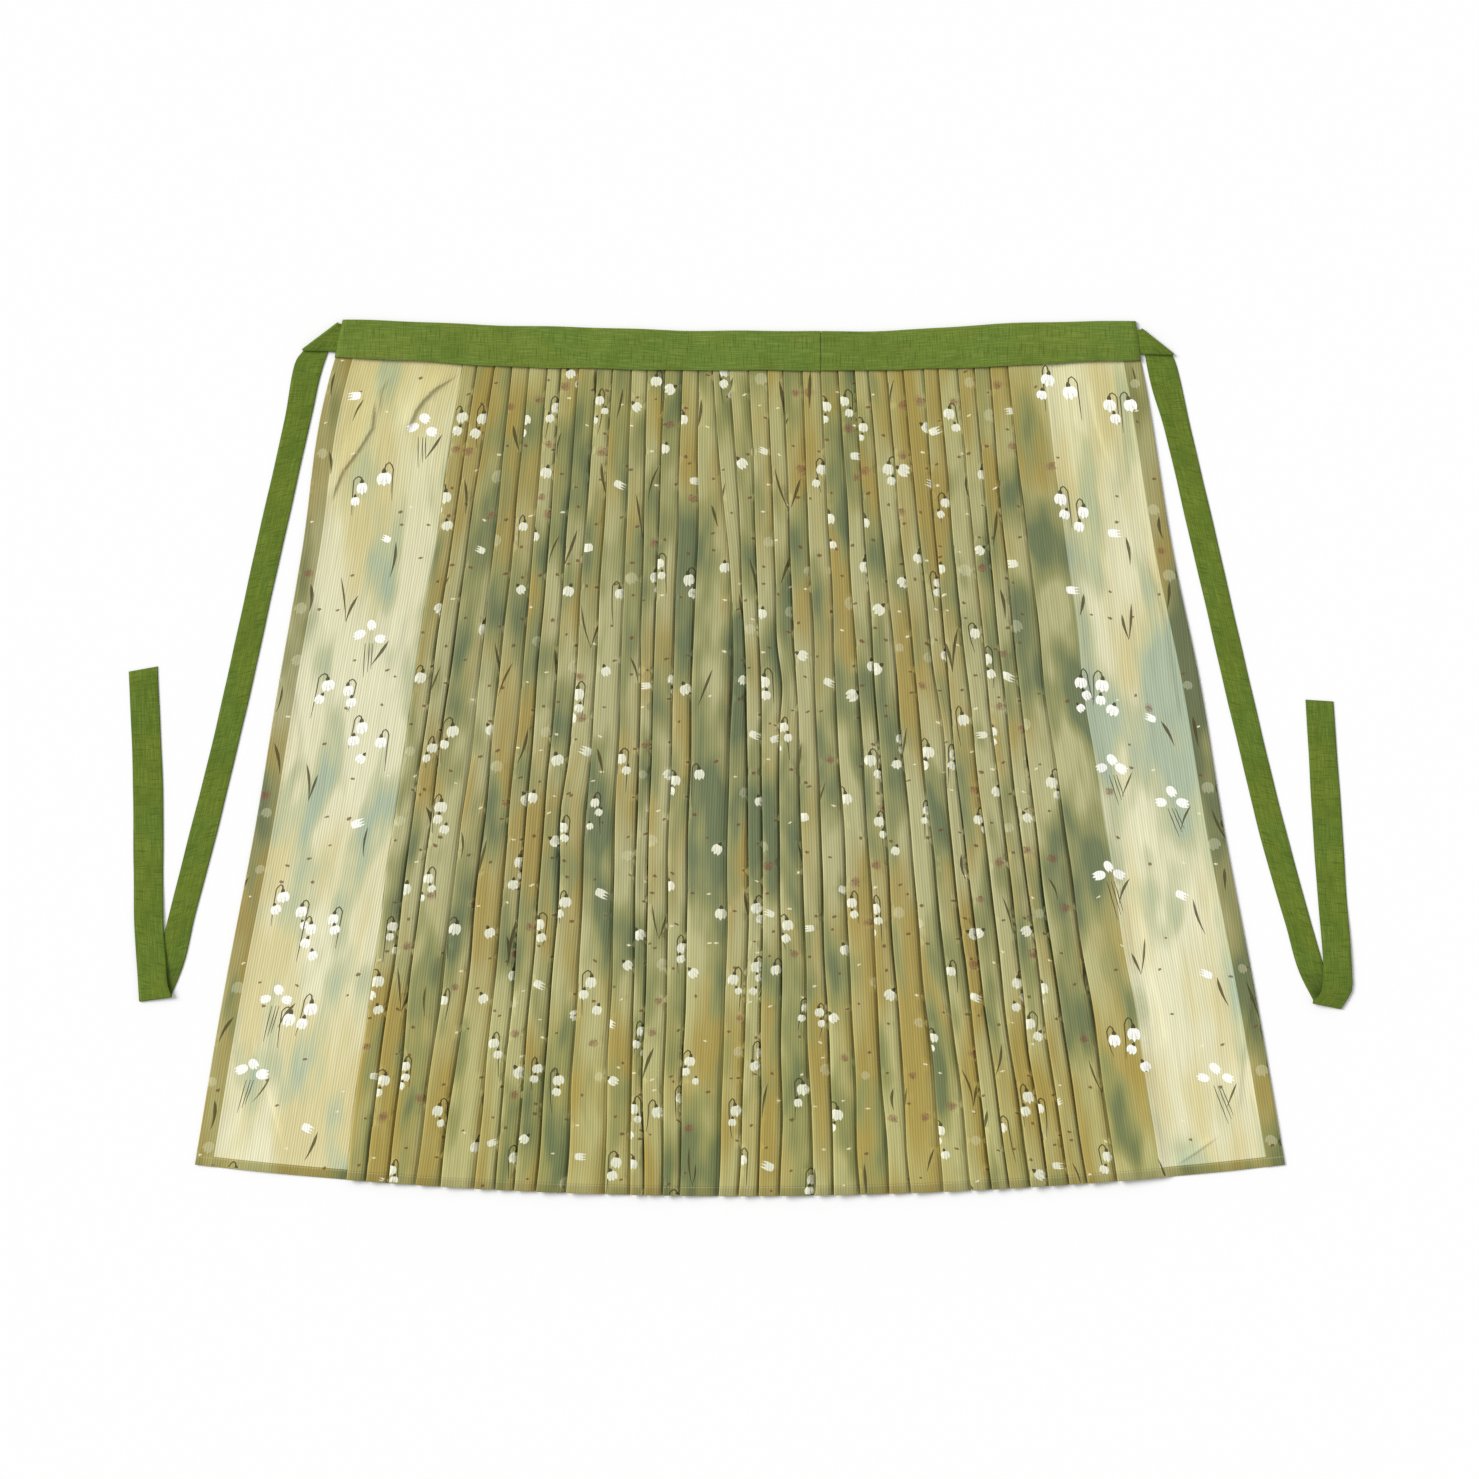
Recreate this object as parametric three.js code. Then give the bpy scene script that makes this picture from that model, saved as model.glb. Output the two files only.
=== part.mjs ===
import * as THREE from 'three';

// A pleated wrap skirt laid flat with its face up and its two ties folded beside it.
// Millimetres. X runs across the skirt, Y up it to the waistband, Z up from the surface it lies on.

const cloth = 1.0; // thickness of every cloth wall
const gap = 0.3; // free space between two layers
const pitch = cloth + gap; // rise from one layer to the next
const sideHem = 20; // width turned under at each side
const pleatShare = 0.68; // depth of a pleat as a share of the strip that covers it
const lap = 1.0; // how far a strip runs on past the pleat beneath before it dips
const clear = 1.3; // space kept between a dipping strip and the next fold
const lastDip = 8; // length over which the cloth dips after the last pleat
const lastPleat = { waist: 40, hem: 51 }; // depth of the last pleat, which has no neighbour
const bandRise = 5.2; // from the middle of the band's back wall to that of its front wall
const bandSeam = 92; // X of the seam that joins the two lengths of the band

// The band's upper and lower edges, for each X.
const bandRows = [
  { x: -456, top: 499.5, bottom: 456.5 },
  { x: -390, top: 497.5, bottom: 453.5 },
  { x: -300, top: 494.5, bottom: 447.5 },
  { x: -200, top: 491, bottom: 444 },
  { x: 0, top: 487, bottom: 441.5 },
  { x: 130, top: 486.5, bottom: 441.5 },
  { x: 200, top: 489, bottom: 442.5 },
  { x: 300, top: 494.5, bottom: 446.5 },
  { x: 380, top: 498, bottom: 450.5 },
  { x: 457, top: 498.5, bottom: 453.5 },
];

// The slanted ends of the band, from its top corner to its bottom corner.
const bandEnds = {
  left: { top: -453.5, bottom: -462.5 },
  right: { top: 451, bottom: 457 },
};

// The skirt's side folds, for each height Y.
const sideRows = [
  { y: 490, left: -452, right: 452 },
  { y: 471, left: -458, right: 454.5 },
  { y: 408, left: -475, right: 465.5 },
  { y: 237, left: -500, right: 493 },
  { y: 82, left: -527, right: 525 },
  { y: -71, left: -552, right: 550 },
  { y: -277, left: -591, right: 589 },
  { y: -468, left: -623, right: 622 },
];

// The lower edge bows down in the middle.
const hemLow = -500;
const hemBow = 35.5;
const hemHalf = 622;

// One row for each pleat: X of its fold near the waist, at mid length and near the hem.
const foldHeights = { waist: 425, middle: -26, hem: -482 };
const foldRows = [
  { waist: -320, middle: -388, hem: -450 },
  { waist: -303, middle: -367, hem: -427 },
  { waist: -283, middle: -347, hem: -401 },
  { waist: -262, middle: -311, hem: -370 },
  { waist: -242, middle: -287, hem: -341 },
  { waist: -221, middle: -259, hem: -302 },
  { waist: -205, middle: -240, hem: -278 },
  { waist: -185, middle: -219, hem: -257 },
  { waist: -164, middle: -197, hem: -232 },
  { waist: -146, middle: -172, hem: -198 },
  { waist: -124, middle: -140, hem: -154 },
  { waist: -106, middle: -116, hem: -126 },
  { waist: -86, middle: -102, hem: -109 },
  { waist: -66, middle: -79, hem: -88 },
  { waist: -47, middle: -57, hem: -68 },
  { waist: -30, middle: -14, hem: -25 },
  { waist: -11, middle: 9, hem: -1 },
  { waist: 11, middle: 25, hem: 21 },
  { waist: 32, middle: 45, hem: 45 },
  { waist: 50, middle: 68, hem: 83 },
  { waist: 72, middle: 90, hem: 107 },
  { waist: 93, middle: 115, hem: 137 },
  { waist: 113, middle: 142, hem: 169 },
  { waist: 132, middle: 162, hem: 196 },
  { waist: 148, middle: 189, hem: 231 },
  { waist: 169, middle: 212, hem: 263 },
  { waist: 188, middle: 234, hem: 286 },
  { waist: 211, middle: 249, hem: 307 },
  { waist: 228, middle: 272, hem: 330 },
  { waist: 250, middle: 295, hem: 352 },
  { waist: 269, middle: 313, hem: 375 },
  { waist: 287, middle: 331, hem: 396 },
  { waist: 308, middle: 363, hem: 432 },
];

// Sections across the skirt: share of the way from the band's lower edge to the hem,
// and how far the cloth is lifted there by the back of the band.
const sections = [
  { share: -0.043, lift: pitch },
  { share: 0.004, lift: pitch },
  { share: 0.035, lift: 0 },
  { share: 0.13, lift: 0 },
  { share: 0.26, lift: 0 },
  { share: 0.4, lift: 0 },
  { share: 0.55, lift: 0 },
  { share: 0.7, lift: 0 },
  { share: 0.85, lift: 0 },
  { share: 1, lift: 0 },
];

// Each tie as its cross lines, from the band to its free end. A line runs from the edge that
// leaves the top of the band (ax, ay) to the edge that leaves its bottom (bx, by).
// layer is the height in layers, and a fold turns the tie over on to another layer.
const leftTie = [
  { ax: -446, ay: 491.5, bx: -452.5, by: 461.5, layer: 3 },
  { ax: -456, ay: 494, bx: -462, by: 463.5, layer: 3 },
  { ax: -459, ay: 494.5, bx: -496, by: 467.5, layer: 1.3, foldTo: 0 },
  { ax: -474, ay: 453, bx: -507, by: 453, layer: 0 },
  { ax: -488, ay: 394, bx: -520, by: 388, layer: 0 },
  { ax: -526, ay: 225, bx: -558, by: 218, layer: 0 },
  { ax: -568, ay: 36, bx: -600, by: 28, layer: 0 },
  { ax: -599, ay: -92, bx: -632, by: -100, layer: 0 },
  { ax: -622, ay: -180, bx: -655, by: -190, layer: 0 },
  { ax: -647, ay: -272, bx: -686, by: -278, layer: 0, foldTo: 1 },
  { ax: -654, ay: -205, bx: -689, by: -208, layer: 1 },
  { ax: -658, ay: -140, bx: -692.5, by: -140, layer: 0 },
  { ax: -659, ay: -40, bx: -693, by: -40, layer: 0 },
  { ax: -665, ay: 104, bx: -698, by: 98, layer: 0 },
];
const rightTie = [
  { ax: 445, ay: 488, bx: 449, by: 458, layer: 3 },
  { ax: 454, ay: 488, bx: 458.5, by: 460, layer: 3 },
  { ax: 457, ay: 488, bx: 492, by: 461, layer: 1.3, foldTo: 0 },
  { ax: 464, ay: 448, bx: 497.5, by: 448, layer: 0 },
  { ax: 484, ay: 374, bx: 516, by: 368, layer: 0 },
  { ax: 519, ay: 225, bx: 551, by: 218, layer: 0 },
  { ax: 563, ay: 36, bx: 595, by: 28, layer: 0 },
  { ax: 594, ay: -92, bx: 627, by: -100, layer: 0 },
  { ax: 622, ay: -190, bx: 655, by: -200, layer: 0 },
  { ax: 652, ay: -278, bx: 692, by: -285, layer: 0, foldTo: 1 },
  { ax: 661, ay: -215, bx: 698, by: -235, layer: 1 },
  { ax: 659, ay: -160, bx: 692.5, by: -165, layer: 0 },
  { ax: 653, ay: -70, bx: 686.5, by: -72, layer: 0 },
  { ax: 645, ay: 66, bx: 677, by: 64, layer: 0 },
];

const skirtLook = new THREE.MeshStandardMaterial({ color: 0xb9b184, roughness: 0.9, side: THREE.DoubleSide });
const bandLook = new THREE.MeshStandardMaterial({ color: 0x6c8230, roughness: 0.95 });
const tieLook = new THREE.MeshStandardMaterial({ color: 0x5c7a2a, roughness: 0.95 });

function between(a, b, share) {
  return a + (b - a) * share;
}

// A smooth value of one column of a table whose rows run along another column.
function readTable(rows, along, column, at) {
  const rising = rows[rows.length - 1][along] > rows[0][along];
  const passed = (row) => (rising ? row[along] <= at : row[along] >= at);
  const last = rows.length - 2;
  const index = Math.min(Math.max(rows.filter(passed).length - 1, 0), last);
  const slope = (i) => {
    const low = rows[Math.max(i - 1, 0)];
    const high = rows[Math.min(i + 1, last + 1)];
    return (high[column] - low[column]) / (high[along] - low[along]);
  };
  const start = rows[index];
  const end = rows[index + 1];
  const span = end[along] - start[along];
  const u = (at - start[along]) / span;
  if (u < 0) return start[column] + slope(index) * (at - start[along]);
  if (u > 1) return end[column] + slope(index + 1) * (at - end[along]);
  const rise = end[column] - start[column];
  const startTurn = slope(index) * span - rise;
  const endTurn = rise - slope(index + 1) * span;
  return start[column] + rise * u + u * (1 - u) * (startTurn * (1 - u) + endTurn * u);
}

function hemHeight(x) {
  return hemLow + hemBow * (x / hemHalf) ** 2;
}

// Height of a section where it crosses X.
function heightAt(share, x) {
  return between(readTable(bandRows, 'x', 'bottom', x), hemHeight(x), share);
}

// X of a pleat's fold at height Y: the parabola through its three values.
function foldAt(row, y) {
  const { waist, middle, hem } = foldHeights;
  const fromWaist = ((y - middle) * (y - hem)) / ((waist - middle) * (waist - hem));
  const fromMiddle = ((y - waist) * (y - hem)) / ((middle - waist) * (middle - hem));
  const fromHem = ((y - waist) * (y - middle)) / ((hem - waist) * (hem - middle));
  return row.waist * fromWaist + row.middle * fromMiddle + row.hem * fromHem;
}

// X where a line that runs down the skirt crosses a section.
function crossing(lineAt, share) {
  let x = lineAt(0);
  for (let step = 0; step < 4; step += 1) x = lineAt(heightAt(share, x));
  return x;
}

// The middle line of the cloth across the skirt: X and the layer it lies on.
// It starts and ends at the raw edges of the side hems, and every pleat faces left.
function clothPath(share) {
  const half = cloth / 2;
  const left = crossing((y) => readTable(sideRows, 'y', 'left', y), share) + half;
  const right = crossing((y) => readTable(sideRows, 'y', 'right', y), share) - half;
  const folds = foldRows.map((row) => crossing((y) => foldAt(row, y), share) + half);
  const path = [
    { x: left + sideHem, layer: 0 },
    { x: left, layer: 0 },
    { x: left, layer: 1 },
    { x: left + sideHem + lap, layer: 1 },
    { x: left + sideHem + lap + pitch, layer: 0 },
  ];
  folds.forEach((fold, index) => {
    const isLast = index === folds.length - 1;
    const strip = isLast ? 0 : folds[index + 1] - fold;
    const depth = isLast ? between(lastPleat.waist, lastPleat.hem, share) : strip * pleatShare;
    const dip = isLast ? lastDip : strip - depth - lap - clear;
    path.push(
      { x: fold + depth, layer: 0 },
      { x: fold + depth, layer: 1 },
      { x: fold, layer: 1 },
      { x: fold, layer: 2 },
      { x: fold + depth + lap, layer: 2 },
      { x: fold + depth + lap + dip, layer: 0 },
    );
  });
  path.push(
    { x: right - sideHem - lap - pitch, layer: 0 },
    { x: right - sideHem - lap, layer: 1 },
    { x: right, layer: 1 },
    { x: right, layer: 0 },
    { x: right - sideHem, layer: 0 },
  );
  return path;
}

// The closed outline of a wall around a flat path of [across, up] points,
// out along one side of it and back along the other.
function wallAround(path, thickness) {
  const normals = path.slice(1).map((point, i) => {
    const across = point[0] - path[i][0];
    const up = point[1] - path[i][1];
    const length = Math.hypot(across, up);
    return [-up / length, across / length];
  });
  const offsets = path.map((point, i) => {
    const before = normals[Math.max(i - 1, 0)];
    const after = normals[Math.min(i, normals.length - 1)];
    const scale = thickness / 2 / (1 + before[0] * after[0] + before[1] * after[1]);
    return [(before[0] + after[0]) * scale, (before[1] + after[1]) * scale];
  });
  const side = (sign) => path.map((point, i) => [point[0] + sign * offsets[i][0], point[1] + sign * offsets[i][1]]);
  return [...side(1), ...side(-1).reverse()];
}

// One closed solid through rings of points, each ring a wall's outline, with both ends capped.
function loft(rings) {
  const count = rings[0].length;
  const points = rings.flat();
  const faces = [];
  const quad = (a, b, c, d) => faces.push([a, b, c], [a, c, d]);
  for (let ring = 0; ring < rings.length - 1; ring += 1) {
    for (let i = 0; i < count; i += 1) {
      const next = (i + 1) % count;
      const start = ring * count;
      quad(start + i, start + next, start + count + next, start + count + i);
    }
  }
  const end = (rings.length - 1) * count;
  for (let i = 0; i < count / 2 - 1; i += 1) {
    const back = count - 1 - i;
    quad(i, back, back - 1, i + 1);
    quad(end + i, end + i + 1, end + back - 1, end + back);
  }
  const volume = faces.reduce((sum, [a, b, c]) => {
    const cross = new THREE.Vector3().crossVectors(points[b], points[c]);
    return sum + points[a].dot(cross);
  }, 0);
  const outward = volume > 0 ? faces : faces.map(([a, b, c]) => [a, c, b]);
  const geometry = new THREE.BufferGeometry();
  geometry.setAttribute('position', new THREE.Float32BufferAttribute(points.flatMap((p) => p.toArray()), 3));
  geometry.setIndex(outward.flat());
  geometry.computeVertexNormals();
  return geometry;
}

function named(name, geometry, material) {
  const mesh = new THREE.Mesh(geometry, material);
  mesh.name = name;
  return mesh;
}

function makeSkirt() {
  const rings = sections.map(({ share, lift }) => {
    const path = clothPath(share).map(({ x, layer }) => [x, cloth / 2 + layer * pitch + lift]);
    return wallAround(path, cloth).map(([x, z]) => new THREE.Vector3(x, heightAt(share, x), z));
  });
  return named('skirt_panel', loft(rings), skirtLook);
}

// The band is folded over the tops of the pleats: back wall, round top, front wall.
// It is lofted between two end lines, each given by its X at the top and at the bottom.
function makeBand(name, start, end, steps) {
  const radius = bandRise / 2;
  const arc = 4;
  const rings = [];
  for (let step = 0; step <= steps; step += 1) {
    const share = step / steps;
    const topX = between(start.top, end.top, share);
    const bottomX = between(start.bottom, end.bottom, share);
    const top = readTable(bandRows, 'x', 'top', topX) - cloth / 2;
    const bottom = readTable(bandRows, 'x', 'bottom', bottomX);
    const path = [[bottom, cloth / 2]];
    for (let i = 0; i <= arc; i += 1) {
      const angle = (Math.PI * i) / arc;
      path.push([top - radius + radius * Math.sin(angle), cloth / 2 + radius * (1 - Math.cos(angle))]);
    }
    path.push([bottom, cloth / 2 + bandRise]);
    const lean = (y) => between(bottomX, topX, (y - bottom) / (top - bottom));
    rings.push(wallAround(path, cloth).map(([y, z]) => new THREE.Vector3(lean(y), y, z)));
  }
  return named(name, loft(rings), bandLook);
}

// A flat ribbon through cross lines. At a fold the line is drawn twice, once on each layer,
// and the wall turns over around it, away from the line before.
function makeTie(name, rows) {
  const rings = [];
  let face = 1;
  const addLine = (row, layer, push) => {
    const z = cloth / 2 + layer * pitch;
    const corner = (x, y, side) => new THREE.Vector3(
      x + (side * push.x * cloth) / 2,
      y + (side * push.y * cloth) / 2,
      z + (side * push.z * cloth) / 2,
    );
    const { ax, ay, bx, by } = row;
    rings.push([corner(ax, ay, 1), corner(bx, by, 1), corner(bx, by, -1), corner(ax, ay, -1)]);
  };
  rows.forEach((row, index) => {
    if (row.foldTo === undefined) {
      addLine(row, row.layer, new THREE.Vector3(0, 0, face));
      return;
    }
    const before = rows[index - 1];
    const out = new THREE.Vector3(row.by - row.ay, row.ax - row.bx, 0).normalize();
    const come = new THREE.Vector3(row.ax + row.bx - before.ax - before.bx, row.ay + row.by - before.ay - before.by, 0);
    if (out.dot(come) < 0) out.negate();
    addLine(row, row.layer, new THREE.Vector3(out.x, out.y, face));
    face = -face;
    addLine(row, row.foldTo, new THREE.Vector3(out.x, out.y, face));
  });
  return named(name, loft(rings), tieLook);
}

const seamGap = 0.3;
const seam = (side) => ({ top: bandSeam + (side * seamGap) / 2, bottom: bandSeam + (side * seamGap) / 2 });

const skirt = new THREE.Group();
skirt.add(
  makeSkirt(),
  makeBand('waistband_left', bandEnds.left, seam(-1), 12),
  makeBand('waistband_right', seam(1), bandEnds.right, 9),
  makeTie('tie_left', leftTie),
  makeTie('tie_right', rightTie),
);

export default skirt;
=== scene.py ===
import math
import random

import bpy
import numpy as np
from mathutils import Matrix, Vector
from mathutils.geometry import delaunay_2d_cdt


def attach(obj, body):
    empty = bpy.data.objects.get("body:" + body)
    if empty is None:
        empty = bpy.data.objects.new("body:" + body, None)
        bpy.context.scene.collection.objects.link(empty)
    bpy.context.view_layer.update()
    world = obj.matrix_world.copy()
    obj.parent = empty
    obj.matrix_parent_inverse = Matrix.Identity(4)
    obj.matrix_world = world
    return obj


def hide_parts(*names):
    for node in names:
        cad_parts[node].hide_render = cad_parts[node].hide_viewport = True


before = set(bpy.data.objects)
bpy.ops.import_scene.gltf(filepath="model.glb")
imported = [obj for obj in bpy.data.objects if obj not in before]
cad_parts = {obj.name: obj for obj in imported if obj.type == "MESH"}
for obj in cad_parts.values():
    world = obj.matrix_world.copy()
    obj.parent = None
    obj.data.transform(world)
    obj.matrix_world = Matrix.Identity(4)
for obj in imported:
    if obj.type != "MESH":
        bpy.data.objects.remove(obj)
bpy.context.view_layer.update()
metre = 0.001  # every size below is in millimetres


# camera straight above, at the photograph's scale
cameraSetup = {"lens": 120, "sensor": 36, "frameWidth": 1688.4, "centreX": -0.9, "centreY": 20.5}


def addObject(name, data):
    made = bpy.data.objects.new(name, data)
    bpy.context.scene.collection.objects.link(made)
    return made


def placeCamera(c):
    data = bpy.data.cameras.new("camera")
    data.lens = c["lens"]
    data.sensor_width = c["sensor"]
    data.clip_end = 20
    camera = addObject("camera", data)
    height = c["frameWidth"] * c["lens"] / c["sensor"]
    camera.location = (c["centreX"] * metre, c["centreY"] * metre, height * metre)
    bpy.context.scene.camera = camera


placeCamera(cameraSetup)
print("camera placed")


# red, green and blue from 0 to 255, tuned against the photograph
def colour(red, green, blue, alpha=1.0):
    def linear(value):
        value = value / 255
        return value / 12.92 if value <= 0.04045 else ((value + 0.055) / 1.055) ** 2.4

    return (linear(red), linear(green), linear(blue), alpha)


# a small helper for material nodes
class Shade:
    def __init__(self, name):
        self.material = bpy.data.materials.new(name)
        self.material.use_nodes = True
        self.tree = self.material.node_tree
        self.surface = self.tree.nodes["Principled BSDF"]

    def node(self, kind, **settings):
        made = self.tree.nodes.new("ShaderNode" + kind)
        for key, value in settings.items():
            setattr(made, key, value)
        return made

    def feed(self, socket, value):
        if isinstance(value, bpy.types.NodeSocket):
            self.tree.links.new(value, socket)
        else:
            socket.default_value = value

    def math(self, operation, first, second=0.0, third=0.0):
        made = self.node("Math", operation=operation)
        for socket, value in zip(made.inputs, (first, second, third)):
            self.feed(socket, value)
        return made.outputs[0]

    def times(self, first, second):
        return self.math("MULTIPLY", first, second)

    def timesPlus(self, first, second, third):
        return self.math("MULTIPLY_ADD", first, second, third)

    def step(self, value, low, high):
        made = self.node("MapRange", interpolation_type="SMOOTHSTEP")
        for key, given in (("Value", value), ("From Min", low), ("From Max", high)):
            self.feed(made.inputs[key], given)
        return made.outputs[0]

    def mix(self, share, first, second, blend="MIX"):
        made = self.node("Mix", data_type="RGBA", blend_type=blend)
        self.feed(made.inputs[0], share)
        self.feed(made.inputs[6], first)
        self.feed(made.inputs[7], second)
        return made.outputs[2]

    def attribute(self, name):
        return self.node("Attribute", attribute_name=name)

    def split(self, vector):
        made = self.node("SeparateXYZ")
        self.feed(made.inputs[0], vector)
        return made.outputs

    def join(self, x, y, z):
        made = self.node("CombineXYZ")
        for socket, value in zip(made.inputs, (x, y, z)):
            self.feed(socket, value)
        return made.outputs[0]

    def noise(self, vector, detail=2.0, roughness=0.5):
        made = self.node("TexNoise")
        self.feed(made.inputs["Vector"], vector)
        made.inputs["Scale"].default_value = 1
        made.inputs["Detail"].default_value = detail
        made.inputs["Roughness"].default_value = roughness
        return made.outputs[0]

    def bump(self, height, strength, distance):
        made = self.node("Bump")
        made.inputs["Strength"].default_value = strength
        made.inputs["Distance"].default_value = distance
        self.feed(made.inputs["Height"], height)
        self.feed(self.surface.inputs["Normal"], made.outputs[0])

    def finish(self, base, roughness, specular, sheen=0.0):
        self.feed(self.surface.inputs["Base Color"], base)
        self.feed(self.surface.inputs["Roughness"], roughness)
        self.feed(self.surface.inputs["Specular IOR Level"], specular)
        self.feed(self.surface.inputs["Sheen Weight"], sheen)


crepeFinish = {
    "single": {  # one layer over the pale table
        "straw": colour(221, 218, 183),
        "ochre": colour(208, 198, 147),
        "sage": colour(189, 192, 152),
        "teal": colour(169, 182, 155),
    },
    "stacked": {  # where the sheer cloth lies on itself
        "straw": colour(181, 178, 130),
        "ochre": colour(166, 149, 84),
        "sage": colour(146, 147, 97),
        "teal": colour(111, 121, 86),
    },
    "ochreSpan": (0.40, 0.64),  # values of the noise over which each tone sets in
    "sageSpan": (0.47, 0.60),
    "tealSpan": (0.57, 0.70),
    "nearHem": (-120, -420),  # heights over which the cloth gets warmer
    "nearBand": (260, 410),
    "middlePleats": (50, 45, 12),  # strips' places in the noise, where the cloth is greener
    "rightPanel": (102, 104),
    "ribSpacing": 3.0,
    "hemDepth": 11.0,
    "sideHem": 20.0,
    "stitchLine": 9.3,  # distance of the stitches from the hem's edge
    "stitchLength": 3.4,
    # painted shade colour for the dark line at each tuck, also mixed into the hems as their darker tint
    "shadowAndHem": colour(68, 61, 30),
    "gold": (0.995, 0.98, 0.81, 1),  # share of red, green and blue that is left in the warmer parts
    # width of the painted shade line at each tuck
    "tuckShadowWidth": 1.9,
}


def makeCrepe(c):
    s = Shade("printedCrepe")
    weave = s.split(s.attribute("weave").outputs["Vector"])  # across, along, place of the strip
    edges = s.split(s.attribute("edges").outputs["Vector"])  # to the side, to the hem, into the layers
    ink = s.attribute("ink")

    # long soft streaks, wide on the panels and one tone or two across a pleat
    def streaks(across, along, strip, detail):
        place = s.join(s.math("DIVIDE", weave[0], across), s.math("DIVIDE", weave[1], along), strip)
        return s.noise(place, detail=detail)

    centre, outer, inner = c["middlePleats"]
    middle = s.step(s.math("ABSOLUTE", s.math("SUBTRACT", weave[2], centre)), outer, inner)
    low = s.step(weave[1], *c["nearHem"])
    warm = s.math("MAXIMUM", low, s.step(weave[1], *c["nearBand"]))
    rightPanel = s.step(weave[2], *c["rightPanel"])
    coolSide = s.times(rightPanel, s.timesPlus(low, 0.03, 0.055))
    bias = s.timesPlus(warm, -0.05, s.timesPlus(middle, 0.045, coolSide))
    blotch = s.math("ADD", bias, streaks(46.0, 140.0, weave[2], 2.0))
    wash = s.math("SUBTRACT", streaks(60.0, 200.0, s.math("ADD", weave[2], 31.7), 1.9), bias)

    def ground(tones):
        tone = s.mix(s.step(wash, *c["ochreSpan"]), tones["straw"], tones["ochre"])
        tone = s.mix(s.step(blotch, *c["sageSpan"]), tone, tones["sage"])
        return s.mix(s.step(blotch, *c["tealSpan"]), tone, tones["teal"])

    inHem = s.step(edges[1], c["hemDepth"] + 0.4, c["hemDepth"] - 0.2)
    inSide = s.step(edges[0], c["sideHem"] + 0.4, c["sideHem"] - 0.2)
    inPleats = s.step(edges[2], -0.4, 0.4)
    doubled = s.math("MAXIMUM", inPleats, s.math("MAXIMUM", inHem, inSide))
    cloth = s.mix(doubled, ground(c["single"]), ground(c["stacked"]))
    cloth = s.mix(s.times(s.math("MAXIMUM", inHem, inSide), 0.2), cloth, c["shadowAndHem"])
    golden = s.math("MAXIMUM", s.times(warm, doubled), s.step(weave[1], 60, 560))
    cloth = s.mix(golden, cloth, c["gold"], "MULTIPLY")

    rib = s.math("SINE", s.times(weave[0], 2 * math.pi / c["ribSpacing"]))
    thread = streaks(2.4, 62.0, weave[2], 3.0)
    shade = s.timesPlus(s.step(weave[1], -480, 430), -0.12, 0.868)  # darker towards the waistband, lighter towards the hem
    grain = s.timesPlus(rib, 0.075, s.timesPlus(thread, 0.36, shade))
    cloth = s.mix(1.0, cloth, s.join(grain, grain, grain), "MULTIPLY")

    fromLine = s.math("ABSOLUTE", s.math("SUBTRACT", edges[1], c["stitchLine"]))
    dash = s.math("FRACT", s.math("DIVIDE", weave[0], c["stitchLength"]))
    stitch = s.times(s.step(fromLine, 0.6, 0.25), s.step(dash, 0.3, 0.4))
    cloth = s.mix(s.times(stitch, 0.3), cloth, colour(232, 222, 180))
    inked = s.mix(ink.outputs["Alpha"], cloth, ink.outputs["Color"])

    # painted shade: a dark line where the cloth tucks under the next pleat, unevenly strong
    tuck = s.attribute("tuck").outputs["Fac"]
    uneven = s.noise(s.join(s.math("DIVIDE", weave[1], 38.0), weave[2], 4.4), detail=2)
    line = s.step(tuck, c["tuckShadowWidth"], c["tuckShadowWidth"] * 0.35)
    shadow = s.times(line, s.timesPlus(s.step(uneven, 0.35, 0.65), 0.46, 0.30))
    shadow = s.times(shadow, s.timesPlus(low, -0.3, 1))  # fainter at the hem
    s.finish(s.mix(shadow, inked, c["shadowAndHem"]), roughness=0.82, specular=0.25, sheen=0.08)
    s.bump(s.timesPlus(rib, 0.5, s.times(thread, 1.5)), 0.45, 0.0004)
    return s.material


linenFinish = {
    "band": {
        "base": colour(103, 123, 41),
        "dark": colour(75, 98, 27),
        "light": colour(126, 143, 61),
        "cool": colour(95, 122, 44),
    },
    "tie": {
        "base": colour(98, 117, 32),
        "dark": colour(70, 91, 21),
        "light": colour(119, 136, 49),
        "cool": colour(88, 114, 36),
    },
}


def makeLinen(name, c):
    s = Shade(name)
    weave = s.split(s.attribute("weave").outputs["Vector"])  # along the strip, across it, edge distance

    def streaks(along, across, seed):
        place = s.join(s.times(weave[0], along), s.times(weave[1], across), seed)
        return s.noise(place, detail=4, roughness=0.6)

    warp = streaks(0.035, 0.9, 2.0)
    weft = streaks(0.8, 0.05, 9.0)
    cloud = streaks(0.011, 0.02, 5.0)
    patch = streaks(0.03, 0.03, 7.5)
    tone = s.mix(s.step(cloud, 0.42, 0.62), c["base"], c["cool"])
    tone = s.mix(s.step(warp, 0.42, 0.66), tone, c["light"])
    tone = s.mix(s.times(s.step(weft, 0.49, 0.66), 0.7), tone, c["dark"])
    tone = s.mix(s.times(s.step(patch, 0.4, 0.7), 0.3), tone, c["dark"])
    tone = s.mix(s.times(s.step(weave[2], 1.5, 0.3), 0.6), tone, c["dark"])
    # painted shade inside the open fold of a tie
    pocketShade = s.times(s.attribute("tuck").outputs["Fac"], 0.85)
    tone = s.mix(pocketShade, tone, colour(40, 54, 14))
    s.finish(tone, roughness=0.9, specular=0.2, sheen=0.1)
    over = s.math("SINE", s.times(weave[0], 2 * math.pi / 1.1))
    across = s.math("SINE", s.times(weave[1], 2 * math.pi / 1.1))
    slubs = s.math("ADD", s.times(warp, 2.5), s.times(weft, 2.5))
    s.bump(s.timesPlus(s.times(over, across), 0.35, slubs), 0.6, 0.0004)
    return s.material


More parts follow.
